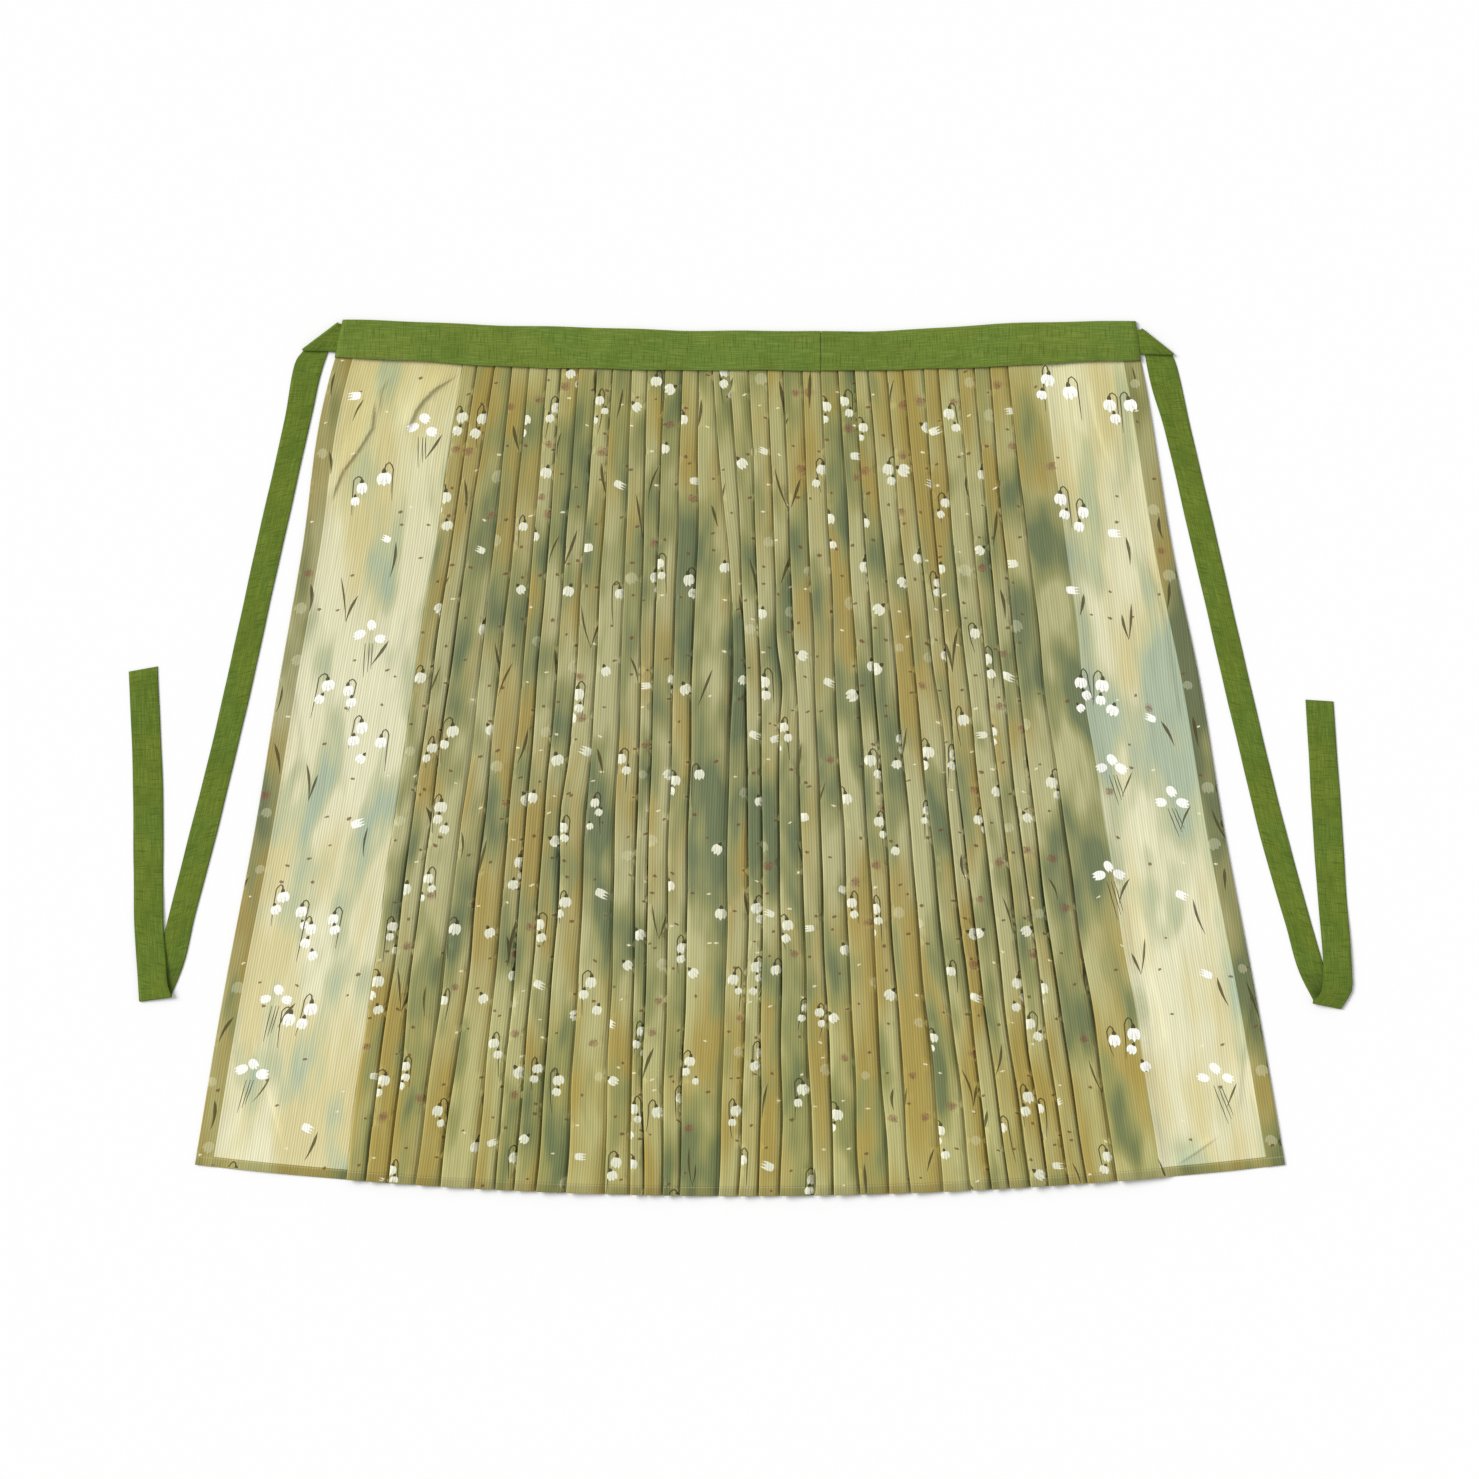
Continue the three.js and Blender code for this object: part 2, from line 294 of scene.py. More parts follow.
crepe = makeCrepe(crepeFinish)
bandLinen = makeLinen("bandLinen", linenFinish["band"])
tieLinen = makeLinen("tieLinen", linenFinish["tie"])
print("materials made")


# shape of the skirt, the same tables as its solid
bandTable = {
    "x": (-456, -390, -300, -200, 0, 130, 200, 300, 380, 457),
    "top": (499.5, 497.5, 494.5, 491, 487, 486.5, 489, 494.5, 498, 498.5),
    "bottom": (456.5, 453.5, 447.5, 444, 441.5, 441.5, 442.5, 446.5, 450.5, 453.5),
}
sideTable = {
    "y": (-468, -277, -71, 82, 237, 408, 471, 490),
    "left": (-623, -591, -552, -527, -500, -475, -458, -452),
    "right": (622, 589, 550, 525, 493, 465.5, 454.5, 452),
}
foldHeights = (425, -26, -482)
foldTable = {
    "waist": (
        -320, -303, -283, -262, -242, -221, -205, -185, -164, -146, -124,
        -106, -86, -66, -47, -30, -11, 11, 32, 50, 72, 93,
        113, 132, 148, 169, 188, 211, 228, 250, 269, 287, 308,
    ),
    "middle": (
        -388, -367, -347, -311, -287, -259, -240, -219, -197, -172, -140,
        -116, -102, -79, -57, -14, 9, 25, 45, 68, 90, 115,
        142, 162, 189, 212, 234, 249, 272, 295, 313, 331, 363,
    ),
    "hem": (
        -450, -427, -401, -370, -341, -302, -278, -257, -232, -198, -154,
        -126, -109, -88, -68, -25, -1, 21, 45, 83, 107, 137,
        169, 196, 231, 263, 286, 307, 330, 352, 375, 396, 432,
    ),
}
hemCurve = {"low": -500, "bow": 35.5, "half": 622}


def smoothRead(keys, values, at):
    keys = np.asarray(keys, float)
    values = np.asarray(values, float)
    at = np.asarray(at, float)
    slopes = np.gradient(values, keys)
    index = np.clip(np.searchsorted(keys, at) - 1, 0, len(keys) - 2)
    span = keys[index + 1] - keys[index]
    u = (at - keys[index]) / span
    inside = np.clip(u, 0, 1)
    rise = values[index + 1] - values[index]
    startTurn = slopes[index] * span - rise
    endTurn = rise - slopes[index + 1] * span
    bend = inside * (1 - inside) * (startTurn * (1 - inside) + endTurn * inside)
    smooth = values[index] + rise * inside + bend
    slope = np.where(u < 0, slopes[index], slopes[index + 1])
    return smooth + (u - inside) * span * slope


def hemHeight(x):
    return hemCurve["low"] + hemCurve["bow"] * (x / hemCurve["half"]) ** 2


def heightAt(share, x):
    bottom = smoothRead(bandTable["x"], bandTable["bottom"], x)
    return bottom + (hemHeight(x) - bottom) * share


def smoothStep(low, high, value):
    u = np.clip((value - low) / (high - low), 0, 1)
    return u * u * (3 - 2 * u)


pleats = {
    "count": 33,
    "depthShare": 0.68,
    "fallShare": 0.86,  # where a pleat's face turns down under the next fold
    "lastDepth": (40, 51),  # at the waist and at the hem
    "floorLayer": 0.5,
    "backLayer": 1.25,
    "bandLift": 0.9,  # rise of the cloth inside the waistband
    "waistHeight": 3.0,
    "hemHeight": 6.2,
    "wander": 0.06,  # share of the spacing by which a fold wanders
    "sideHem": 20,
    "edgeRadius": 0.45,  # of the fold at either side of the skirt
}
farAway = 500  # distance given to cloth that has no such edge near it
stripStep = 3.17  # from one strip's place in the noise to the next
stacked = 50  # how far cloth between layers lies inside them, below 0 for single cloth
# folds that swing away from their even line: pleat, height on the skirt, reach and shift
sways = (
    (16, 165, 120, 10),
    (15, 250, 90, 2),
    (13, -350, 90, -3),
    (19, -420, 60, 3),
    (24, -440, 60, -3),
    (19, 84, 35, 5),
    (9, -60, 45, -4),
    (27, 30, 50, 3.5),
    (30, -330, 45, -4),
    (5, -250, 60, 4),
)
# pleats that stand up from the rest: pleat, height on the skirt, reach and lift
lifts = (
    (15, 80, 70, 4.6),
    (16, 30, 85, 3),
    (32, -260, 130, 2.8),
    (29, -430, 70, 2.4),
    (2, 120, 90, 1.8),
    (4, -180, 80, 2.2),
    (8, -370, 100, 2.0),
    (11, -60, 60, 1.6),
    (12, -440, 60, 2.6),
    (20, -330, 90, 2.2),
    (24, 10, 90, 2.0),
    (27, -200, 70, 1.8),
)
waves = random.Random(11)
phases = [[waves.uniform(0, 2 * math.pi) for _ in range(6)] for _ in range(pleats["count"] + 1)]


# what one of the two tables above adds at a height
def swellAt(table, pleat, y):
    total = np.zeros_like(y)
    for which, at, reach, amount in table:
        if which == pleat:
            total = total + amount * np.exp(-(((y - at) / reach) ** 2))
    return total


def evenFold(pleat, y):
    top, middle, low = foldHeights
    row = [foldTable[key][pleat - 1] for key in ("waist", "middle", "hem")]
    fromTop = (y - middle) * (y - low) / ((top - middle) * (top - low))
    fromMiddle = (y - top) * (y - low) / ((middle - top) * (middle - low))
    fromLow = (y - top) * (y - middle) / ((low - top) * (low - middle))
    return row[0] * fromTop + row[1] * fromMiddle + row[2] * fromLow


def foldLine(pleat, y):
    near = [other for other in (pleat - 1, pleat + 1) if 1 <= other <= pleats["count"]]
    space = np.minimum.reduce([np.abs(evenFold(other, y) - evenFold(pleat, y)) for other in near])
    a, b, c = phases[pleat][:3]
    wave = 0.5 * np.sin(y / 41 + a) + 0.3 * np.sin(y / 23 + b) + 0.35 * np.sin(y / 74 + c)
    line = evenFold(pleat, y) + wave * space * pleats["wander"] * smoothStep(430, 250, y)
    return line + swellAt(sways, pleat, y)


def stripLeft(strip, y):
    return smoothRead(sideTable["y"], sideTable["left"], y) if strip == 0 else foldLine(strip, y)


def stripRight(strip, y):
    if strip == pleats["count"]:
        return smoothRead(sideTable["y"], sideTable["right"], y)
    return foldLine(strip + 1, y)


def pleatDepth(pleat, y):
    if pleat == pleats["count"]:
        waist, hem = pleats["lastDepth"]
        return waist + (hem - waist) * (440 - y) / 940
    return (foldLine(pleat + 1, y) - foldLine(pleat, y)) * pleats["depthShare"]


def foldHeight(pleat, y):
    a, b, c = phases[pleat][3:6]
    share = smoothStep(460, -300, y)
    height = pleats["waistHeight"] + (pleats["hemHeight"] - pleats["waistHeight"]) * share
    swell = 0.6 * np.sin(y / 55 + a) + 0.4 * np.sin(y / 29 + b) + 0.35 * np.sin(y / 97 + c)
    return height + swell * (0.3 + 0.9 * share) + swellAt(lifts, pleat, y)


def foldRadius(pleat, y):
    return np.clip((foldHeight(pleat, y) - pleats["backLayer"]) / 2, 0.6, 1.7)


# creases on the flat panels: height (below 0 for a valley), width on the left and right, and path
creases = (
    (3.4, 12, 1.4, (-303, 450), (-330, 432), (-349, 421), (-362, 408), (-371, 396), (-378, 379),
     (-381, 366)),
    (2.6, 11, 1.5, (-418, 412), (-419, 394), (-421, 376), (-437, 350), (-455, 326), (-463, 306),
     (-468, 288)),
    (1.5, 9, 3, (-398, 440), (-412, 418), (-414, 385)),
    (1.4, 12, 3, (-323, 396), (-330, 366), (-328, 318)),
    (1.6, 8, 3, (-346, -60), (-359, -105), (-371, -296)),
    (-1.4, 12, 4, (-560, -320), (-542, -380), (-525, -440)),
    (1.2, 16, 5, (-515, 90), (-505, 20), (-520, -60)),
    (-1.6, 10, 3, (392, 436), (404, 380), (420, 330)),
    (1.4, 14, 4, (452, 250), (484, 150), (500, 40)),
    (-1.4, 12, 4, (446, -140), (462, -240), (485, -330)),
    (1.2, 5, 1.6, (548, -430), (520, -450), (492, -468)),
    (1.2, 12, 4, (585, -260), (572, -340), (566, -410)),
)


def creaseHeight(x, y):
    total = np.zeros_like(x)
    for height, leftWide, rightWide, *path in creases:
        nearest = np.full_like(x, 1e6)
        off, run = np.zeros_like(x), np.zeros_like(x)
        start = 0
        for (x0, y0), (x1, y1) in zip(path, path[1:]):
            length = math.hypot(x1 - x0, y1 - y0)
            along = np.clip(((x - x0) * (x1 - x0) + (y - y0) * (y1 - y0)) / length, 0, length)
            awayX = x - x0 - (x1 - x0) * along / length
            awayY = y - y0 - (y1 - y0) * along / length
            away = np.hypot(awayX, awayY)
            rightOf = awayY * (x1 - x0) > awayX * (y1 - y0)
            closer = away < nearest
            nearest = np.where(closer, away, nearest)
            off = np.where(closer, np.where(rightOf, away, -away), off)
            run = np.where(closer, start + along, run)
            start += length
        wide = np.where(off > 0, rightWide, leftWide)
        ends = smoothStep(0, 22, run) * smoothStep(start, start - 22, run)
        total = total + height * np.exp(-((off / wide) ** 2)) * ends
        if height < 0:  # the cloth beside a valley stands up a little
            total = total - height * np.exp(-((nearest / 30) ** 2))
    return total


# close points along the creases, so that the net can follow them
def creasePlaces():
    places = []
    for _, leftWide, rightWide, *path in creases:
        for (x0, y0), (x1, y1) in zip(path, path[1:]):
            length = math.hypot(x1 - x0, y1 - y0)
            overX, overY = (y0 - y1) / length, (x1 - x0) / length
            steps = math.ceil(length / 5)
            for k in range(steps):
                x, y = x0 + (x1 - x0) * k / steps, y0 + (y1 - y0) * k / steps
                places.append((x, y))
                for share in (0.2, 0.5, 0.9, 1.5, 2.2):
                    for width in (-leftWide, rightWide):
                        places.append((x + overX * share * width, y + overY * share * width))
    return places


def ripple(x, y):
    slow = 0.45 * np.sin(x / 31 + y / 90) + 0.4 * np.sin(y / 47 - x / 60 + 1.3)
    return 0.6 + 0.5 * (slow + 0.3 * np.sin(y / 23 + x / 37))


def surfaceHeight(strip, p, y):
    floor, back, last = pleats["floorLayer"], pleats["backLayer"], pleats["count"]
    left = stripLeft(strip, y)
    fromSide = stripRight(strip, y) - left - p
    flat = ripple(left + p, y) * smoothStep(24, 60, p if strip == 0 else fromSide)
    flat = flat + creaseHeight(left + p, y)
    if strip == 0:
        radius = pleats["edgeRadius"]
        top = floor + flat * smoothStep(0, 30, fromSide) + 0.8 * smoothStep(25, 20, p)
    else:
        radius = foldRadius(strip, y)
        high = foldHeight(strip, y)
        depth = pleatDepth(strip, y)
        over = np.maximum(high * 0.62, back + 0.7)
        top = high + (over - high) * np.clip((p - radius) / (depth - radius), 0, 1) ** 1.15
        width = fromSide + p
        start, end = (width * pleats["fallShare"], width - 1.2) if strip < last else (depth, depth + 14)
        top = top + (floor - top) * smoothStep(start, end, p)
    if strip == last:
        top = top + flat * smoothStep(depth, depth + 40, p) + 0.8 * smoothStep(25, 20, fromSide)
        edge = np.clip(1 - fromSide / pleats["edgeRadius"], 0, 1)
        top = top - pleats["edgeRadius"] * (1 - np.sqrt(1 - edge**2))
    curl = np.clip(1 - p / radius, 0, 1)
    return top - radius * (1 - np.sqrt(1 - curl**2))


# drawing of the printed motifs, each an outline in millimetres with its ink
inks = {
    "bell": colour(230, 230, 206, 0.95),
    "brightBell": colour(248, 248, 240, 0.98),
    "petal": colour(204, 208, 184, 0.9),
    "veil": colour(236, 236, 200, 0.22),
    "calyx": colour(66, 60, 32, 0.92),
    "stem": colour(64, 56, 28, 0.88),
    "leaf": colour(72, 64, 30, 0.88),
    "haze": colour(140, 94, 72, 0.2),
    "blot": colour(136, 88, 70, 0.42),
    "stain": colour(128, 78, 64, 0.6),
    "grain": colour(104, 62, 46, 0.7),
    "dot": colour(112, 74, 46, 0.8),
    "dash": colour(240, 228, 192, 0.8),
}


def spot(width, height, sides, rough, rng):
    points = []
    for k in range(sides):
        angle = 2 * math.pi * k / sides
        size = 0.5 + 0.5 * rng.uniform(-rough, rough)
        points.append((width * size * math.cos(angle), height * size * math.sin(angle)))
    return points


def stroke(points, widths):
    left, right = [], []
    for k, (x, y) in enumerate(points):
        x0, y0 = points[max(k - 1, 0)]
        x1, y1 = points[min(k + 1, len(points) - 1)]
        half = widths[k] / 2 / math.hypot(x1 - x0, y1 - y0)
        left.append((x - (y1 - y0) * half, y + (x1 - x0) * half))
        right.append((x + (y1 - y0) * half, y - (x1 - x0) * half))
    return left + right[::-1]


def turned(outline, angle, x, y):
    c, s = math.cos(angle), math.sin(angle)
    return [(x + px * c - py * s, y + px * s + py * c) for px, py in outline]


def bellOutline(size, rng):
    half = size * rng.uniform(0.4, 0.5)
    angles = [math.pi * k / 8 for k in range(9)]
    points = [(half * math.cos(angle), size * 0.47 * math.sin(angle) ** 0.9) for angle in angles]
    tips = [rng.uniform(-0.06, 0.04) for _ in range(3)]
    edge = ((-0.95, -0.14), (-0.7, -0.38 + tips[0]), (-0.36, -0.27), (0, -0.47 + tips[1]), (0.36, -0.27))
    edge += ((0.7, -0.38 + tips[2]), (0.95, -0.14))
    return points + [(half * x, size * y) for x, y in edge]


def bell(size, lean, x, y, rng):
    top = turned([(0, size * 0.52)], lean, x, y)[0]
    flower = (turned(bellOutline(size, rng), lean, x, y), inks["bell"])
    cap = [(-0.16, -0.12), (0.16, -0.12), (0.14, 0.06), (0.04, 0.2), (-0.04, 0.2), (-0.14, 0.06)]
    calyx = (turned([(size * a, size * b) for a, b in cap], lean, *top), inks["calyx"])
    parts = [flower, calyx]
    for side in (-1, 1):
        fold = [(side * 0.08, 0.16), (side * 0.2, -0.24), (side * 0.12, -0.24)]
        parts.append((turned([(size * a, size * b) for a, b in fold], lean, x, y), inks["petal"]))
    return parts, top


# the stem rises from the calyx, hooks over and hangs beside the bells
def hook(top, side, size, rng):
    x, y = top
    reach = size * 0.5 * side * rng.uniform(0.8, 1.25)
    rise = size * rng.uniform(0.36, 0.6)
    drop = rng.uniform(28, 48)
    bend = rng.uniform(-5, 5)
    points = [(x, y), (x + reach * 0.15, y + rise * 0.75), (x + reach * 0.5, y + rise)]
    points += [(x + reach * 0.85, y + rise * 0.7)]
    points += [(x + reach * 1.1 + bend * t * t, y + rise * 0.2 - drop * t) for t in (0, 0.3, 0.65, 1)]
    return (stroke(points, (1.9, 1.8, 1.6, 1.5, 1.5, 1.4, 1.2, 0.5)), inks["stem"])


def bellStack(x, y, count, size, rng):
    side = rng.choice((-1, 1))
    first, top = bell(size, rng.uniform(-0.25, 0.25), x, y, rng)
    parts = [hook(top, side, size, rng)] + first
    for k in range(1, count):
        shift = side * size * (rng.uniform(0.1, 0.55) if k == 1 else -rng.uniform(0.15, 0.6))
        lower = y - k * size * rng.uniform(0.84, 1.1)
        parts += bell(size * rng.uniform(0.7, 0.9), rng.uniform(-0.6, 0.6), x + shift, lower, rng)[0]
    return parts


def fringeFlower(x, y, rng):
    size = rng.uniform(11, 15)
    points = [(-0.1, 0.42), (-0.5, 0.35), (-0.55, 0.0), (-0.45, -0.3)]
    for tip in (-0.28, -0.02, 0.26):
        points += [(0.12, tip - 0.1), (rng.uniform(0.5, 0.62), tip), (0.15, tip + 0.1)]
    outline = [(px * size, py * size * 0.85) for px, py in points]
    return [(turned(outline, rng.choice((0, 0.4, -0.4, 2.8, 3.3)), x, y), inks["bell"])]


def leafBlade(x, y, length, lean, rng):
    bow = rng.uniform(-2.5, 2.5)
    wide = rng.uniform(2, 4.2)
    points = [(bow * math.sin(math.pi * t), -length * t) for t in (0, 0.2, 0.4, 0.6, 0.8, 1)]
    outline = stroke(points, (0.3, wide * 0.8, wide, wide * 0.75, wide * 0.45, 0.4))
    return [(turned(outline, lean, x, y), inks["leaf"])]


def looseLeaf(x, y, rng):
    return leafBlade(x, y, rng.uniform(24, 44), rng.uniform(-0.42, 0.42), rng)


# two blades that meet at their foot
def twig(x, y, rng):
    lean = rng.uniform(0.1, 0.32) * rng.choice((-1, 1))
    length = rng.uniform(38, 54)
    footX, footY = x + length * math.sin(lean), y - length * math.cos(lean)
    other = -lean * rng.uniform(0.8, 1.4)
    shorter = length * rng.uniform(0.55, 0.75)
    topX, topY = footX - shorter * math.sin(other), footY + shorter * math.cos(other)
    return leafBlade(x, y, length, lean, rng) + leafBlade(topX, topY, shorter, other, rng)


def sprig(x, y, rng):
    parts = []
    rootX, rootY = x + rng.uniform(-6, 10), y - rng.uniform(36, 50)
    for dx, dy, lean in ((-13, -2, -1.45), (1, 8, 0.7), (11, -4, 1.2)):
        outline = [(px * 0.74, py) for px, py in bellOutline(rng.uniform(14, 17), rng)]
        flowerX, flowerY = x + dx + rng.uniform(-2.5, 2.5), y + dy + rng.uniform(-3, 3)
        stemX, footX, footY = x + dx * 0.35, rootX + dx * 0.3, rootY + dx * 0.4
        points = [(stemX + (footX - stemX) * t, y - 11 + (footY - y + 11) * t) for t in (0, 0.35, 0.7, 1)]
        parts.append((stroke(points, (0.7, 1.2, 1.0, 0.5)), inks["stem"]))
        flower = turned(outline, lean + rng.uniform(-0.4, 0.4), flowerX, flowerY)
        parts.append((flower, inks["bell"]))
    return parts + leafBlade(x + 22, y - 8, 32, -0.5, rng)


# a soft round spot with a few darker grains
def blot(x, y, rng):
    size = rng.uniform(10.5, 15.5)
    parts = []
    for share, ink in ((1, "haze"), (0.8, "blot"), (0.5, "stain")):
        outline = spot(size * share, size * share * 0.85, 9, 0.24, rng)
        outline = turned(outline, rng.uniform(-0.5, 0.5), x + rng.uniform(-1, 1), y + rng.uniform(-1, 1))
        parts.append((outline, inks[ink]))
    for _ in range(3):
        grainX, grainY = x + size * rng.uniform(-0.3, 0.3), y + size * rng.uniform(-0.3, 0.3)
        parts.append((turned(spot(2.2, 1.7, 5, 0.3, rng), 0, grainX, grainY), inks["grain"]))
    return parts


def speck(x, y, rng):
    kind = rng.choice(("dot", "dot", "dot", "dot", "dot", "dash", "dash", "blot"))
    if kind == "blot":
        return blot(x, y, rng)
    sizes = {"dot": (3.4, 6.2, 2.4, 4), "dash": (4, 6, 1.8, 2.6)}[kind]
    outline = spot(rng.uniform(*sizes[:2]), rng.uniform(*sizes[2:]), 7, 0.3, rng)
    return [(turned(outline, rng.uniform(-0.5, 0.5), x, y), inks[kind])]


def veiled(x, y, rng):
    return [(turned(bellOutline(rng.uniform(11, 16), rng), rng.uniform(-0.8, 0.8), x, y), inks["veil"])]


printLayout = {
    "seed": 700,
    "panelStep": (98, 122),
    "pleatStep": (62, 132),
    "panelBell": (14, 17.5),
    "pleatBell": (12, 15.5),
}


def panelGroup(x, y, rng):
    kind = rng.random()
    if kind < 0.52:
        first, other = (rng.uniform(*printLayout["panelBell"]) for _ in range(2))
        otherX, otherY = x + rng.choice((-23, 24)), y + rng.uniform(-18, 12)
        second = bellStack(otherX, otherY, rng.choice((1, 1, 2, 3)), other, rng)
        return bellStack(x, y, rng.choice((2, 2, 3)), first, rng) + second
    if kind < 0.66:
        return sprig(x, y, rng)
    if kind < 0.84:
        return fringeFlower(x, y, rng) + looseLeaf(x + 12, y - 4, rng)
    return twig(x, y, rng)


def pleatMotif(x, y, rng):
    kind = rng.random()
    size = rng.uniform(*printLayout["pleatBell"])
    if kind < 0.4:
        return bellStack(x, y, rng.choice((1, 2, 2, 3)), size, rng)
    if kind < 0.54:
        return bell(size, rng.uniform(-1.2, 1.2), x, y, rng)[0]
    if kind < 0.66:
        return fringeFlower(x, y, rng)
    if kind < 0.8:
        return looseLeaf(x, y, rng)
    return twig(x, y, rng) if kind < 0.87 else veiled(x, y, rng)


def widthAt(strip, y):
    place = np.array(float(y))
    return float(stripRight(strip, place) - stripLeft(strip, place))


def stripPrint(strip):
    rng = random.Random(printLayout["seed"] + strip)
    parts = []
    if 0 < strip < pleats["count"]:
        y = 455 - rng.uniform(0, 90)
        while y > -510:
            width = widthAt(strip, y)
            parts += pleatMotif(width * rng.uniform(0, 1), y, rng)
            for shift in (-rng.uniform(18, 50), rng.uniform(10, 40)):
                parts = speck(width * rng.uniform(0.1, 0.9), y + shift, rng) + parts
            y -= rng.uniform(*printLayout["pleatStep"])
        return parts
    y = 425
    while y > -490:
        width = widthAt(strip, y)
        for column in range(2):
            x = width * (0.3 + 0.42 * column) + rng.uniform(-18, 18)
            parts += panelGroup(x, y + rng.uniform(-20, 20) - 40 * column, rng)
        for _ in range(5):
            parts = speck(rng.uniform(4, width - 4), y + rng.uniform(-45, 45), rng) + parts
        for draw in (veiled, looseLeaf, speck):
            hemPlace = rng.uniform(3, 17) if strip == 0 else width - rng.uniform(3, 17)
            parts = draw(hemPlace, y + rng.uniform(-45, 45), rng) + parts
        y -= rng.uniform(*printLayout["panelStep"])
    # bells are whiter where the cloth is single
    return [(outline, inks["brightBell"] if ink == inks["bell"] else ink) for outline, ink in parts]


# keeps the side of a line where a * x + b * y is at most c
def cutOutline(points, a, b, c):
    kept = []
    for here, there in zip(points, points[1:] + points[:1]):
        overHere = a * here[0] + b * here[1] - c
        overThere = a * there[0] + b * there[1] - c
        if overHere <= 0:
            kept.append(here)
        if overHere * overThere < 0:
            t = overHere / (overHere - overThere)
            kept.append((here[0] + (there[0] - here[0]) * t, here[1] + (there[1] - here[1]) * t))
    return kept


def signedArea(points):
    return sum(x0 * y1 - x1 * y0 for (x0, y0), (x1, y1) in zip(points, points[1:] + points[:1])) / 2


def clipToStrip(outline, strip, topLimit):
    middle = sum(y for _, y in outline) / len(outline)
    width = widthAt(strip, middle)
    slope = (widthAt(strip, middle + 5) - width) / 5
    outline = cutOutline(outline, -1, 0, -0.12)
    outline = cutOutline(outline, 1, -slope, width - slope * middle - 0.25)
    outline = cutOutline(outline, 0, 1, topLimit)
    if not outline:
        return outline
    place = sum(x for x, _ in outline) / len(outline)
    x = float(stripLeft(strip, np.array(middle))) + place
    hem = hemHeight(x)
    hemSlope = 2 * hemCurve["bow"] * x / hemCurve["half"] ** 2
    return cutOutline(outline, hemSlope, -1, hemSlope * place - hem - 1.2)


skirtRows = np.linspace(-0.018, 1, 93)


# where a column at a given distance from its fold crosses each row
def columnPlaces(strip, offset):
    y = heightAt(skirtRows, np.zeros_like(skirtRows))
    for _ in range(4):
        y = heightAt(skirtRows, stripLeft(strip, y) + offset(y))
    return offset(y), y


class Net:
    def __init__(self):
        self.points, self.weave, self.edges, self.tuck, self.faces, self.ink = [], [], [], [], [], []

    def add(self, point, weave, edges=(0, 0, 0), tuck=0):
        self.points.append([value * metre for value in point])
        self.weave.append(weave)
        self.edges.append(edges)
        self.tuck.append(tuck)
        return len(self.points) - 1

    def face(self, corners, ink=(0, 0, 0, 0)):
        self.faces.append(corners)
        self.ink.append(ink)

    # faces between neighbouring rows of points
    def join(self, rows):
        for left, right in zip(rows, rows[1:]):
            for k in range(len(left) - 1):
                self.face((left[k], left[k + 1], right[k + 1], right[k]))


# points of the cloth in one strip, from their distance past its fold
def addCloth(net, strip, p, y, z, layers, side):
    x = stripLeft(strip, y) + p
    # distance to the next fold, from which the crepe paints a shade line; shrunk where a pleat is lifted,
    # so that the painted shade is wider there
    tuck = farAway
    if strip < pleats["count"]:
        tuck = (stripRight(strip, y) - x) / (1 + 0.45 * swellAt(lifts, strip, y))
    hem = y - hemHeight(x)
    z = z + pleats["bandLift"] * smoothStep(40, 8, y - heightAt(0, x) + 40)
    rows = np.broadcast_arrays(x, y, z, p, layers, side, hem, tuck)
    return [
        net.add((px, py, pz), (across, py, strip * stripStep), (fromSide, fromHem, layer), under)
        for px, py, pz, across, layer, fromSide, fromHem, under in zip(*(row.tolist() for row in rows))
    ]


# layers of a pleat under its front, from the last strip's end to the new fold
def hiddenColumns(net, pleat):
    floor, back = pleats["floorLayer"], pleats["backLayer"]
    depth = lambda y: pleatDepth(pleat, y)
    radius = lambda y: foldRadius(pleat, y)
    chain = (
        (lambda y: depth(y) * 0.5, lambda y: floor, 1),
        (lambda y: depth(y) - 0.5, lambda y: floor, 1),
        (depth, lambda y: (floor + back) / 2, 0),
        (lambda y: depth(y) - 0.5, lambda y: back, -1),
        (lambda y: np.maximum(depth(y) * 0.4, 3.2), lambda y: back + 0.05, -1),
        (radius, lambda y: foldHeight(pleat, y) - 2 * radius(y), -1),
    )
    columns = []
    for offset, level, facing in chain:
        p, y = columnPlaces(pleat, offset)
        columns.append((addCloth(net, pleat, p, y, level(y), stacked, farAway), facing))
    return columns


# a side hem's turned part, which lies under the panel
def sideColumns(net, strip):
    columns = []
    distances = (pleats["sideHem"], 9, pleats["edgeRadius"])
    for distance in distances if strip == 0 else distances[::-1]:
        if strip == 0:
            offset = lambda y: distance + 0 * y
        else:
            offset = lambda y: stripRight(strip, y) - stripLeft(strip, y) - distance
        p, y = columnPlaces(strip, offset)
        columns.append((addCloth(net, strip, p, y, 0.35, -stacked, distance), -1))
    return columns


# each column lies at a fixed distance plus a share of the strip's width
def stripColumns(strip):
    fold = [(0, 0), (0.15, 0), (0.6, 0), (1.3, 0), (2.6, 0)]
    sideFold = [(0, 0), (0.2, 0), (0.45, 0), (5, 0), (10, 0), (15, 0), (20, 0), (22.5, 0), (25, 0)]
    if strip == 0:
        return sideFold + [(25 - 26.2 * k / 12, k / 12) for k in range(1, 13)] + [(0.6, 1)]
    if strip < pleats["count"]:
        return fold + [(0, 0.33), (0, 0.62), (0, 0.85), (0, 0.91), (-1.2, 1), (0.6, 1)]
    over = [(p, 0) for p in (10, 20, 30, 38, 41, 46, 51, 57, 65)]
    even = [(65 - 90 * k / 7, k / 7) for k in range(1, 7)]
    return fold + over + even + [(-distance, 1) for distance, _ in reversed(sideFold)]


